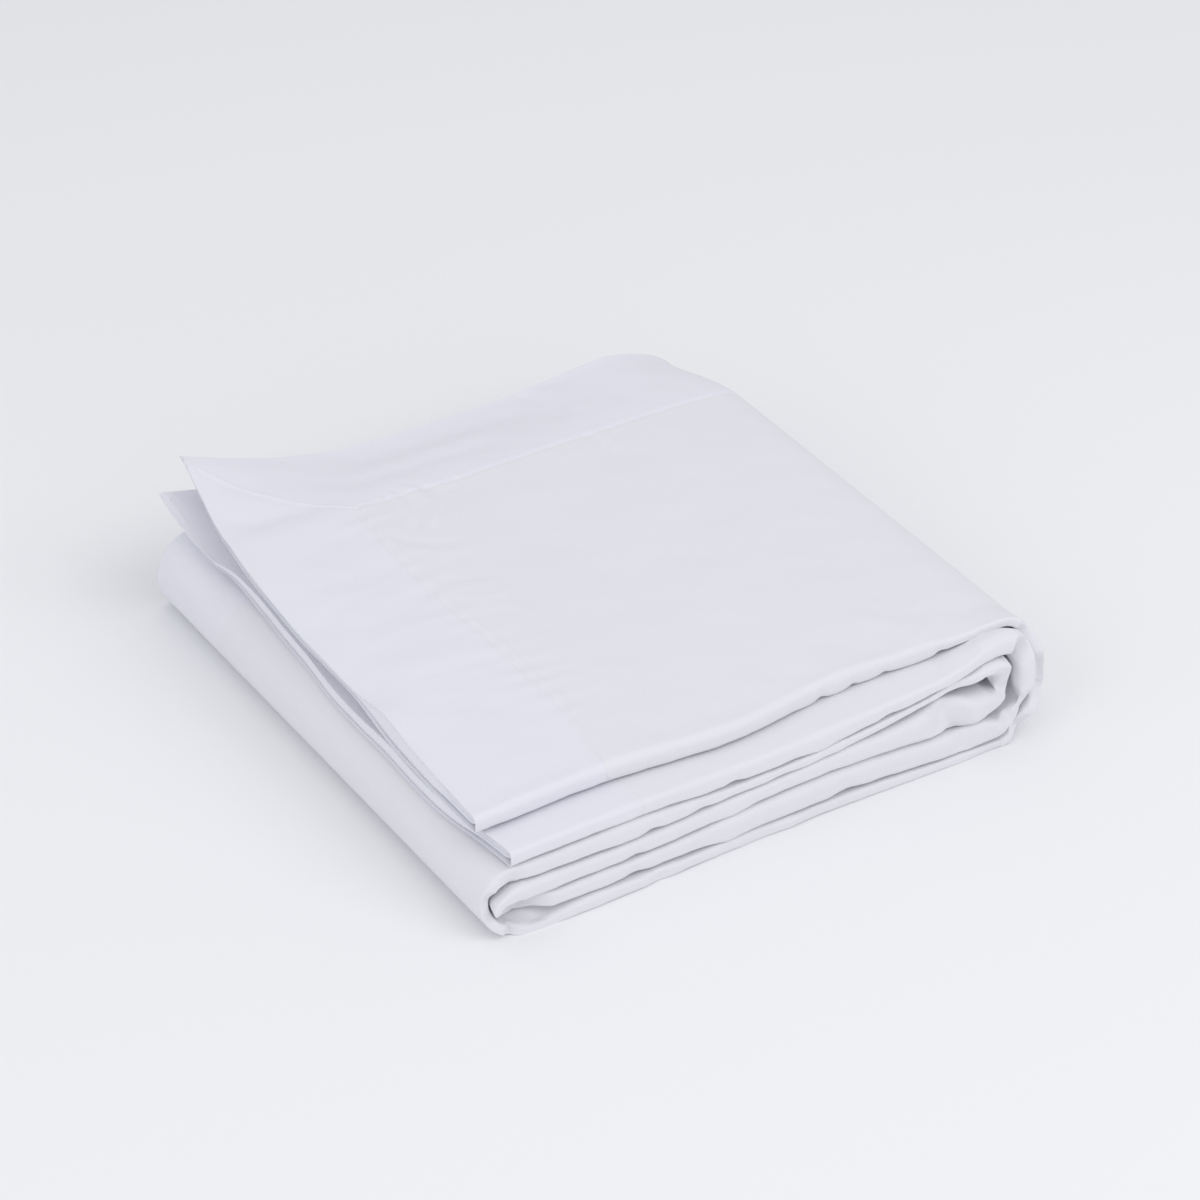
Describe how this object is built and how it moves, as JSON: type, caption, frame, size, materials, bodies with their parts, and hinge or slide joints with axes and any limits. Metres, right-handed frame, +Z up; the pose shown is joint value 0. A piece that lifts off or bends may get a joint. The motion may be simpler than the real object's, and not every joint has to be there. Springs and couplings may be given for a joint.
{
  "type": "folded comforter cover",
  "caption": "Empty cotton comforter cover with a wide mitred border, folded flat into a low soft stack with rounded folds, free border edges at the back and a lifted corner.",
  "frame": {"origin": "middle of the bounding box's footprint, on the surface that the stack lies on", "axes": "+X runs to the right along the front folds, +Y from the front folds to the free back edge with the border, +Z up from the surface"},
  "size_m": [0.365, 0.3806, 0.0953],
  "materials": {
    "panel_cotton": "matte plain-weave white cotton",
    "border_cotton": "matte white cotton with a slight sheen"
  },
  "bodies": {
    "root": {"cover_panel": "panel_cotton", "side_border": "border_cotton", "upper_end_border": "border_cotton", "lower_end_border": "border_cotton"}
  },
  "joints": []
}
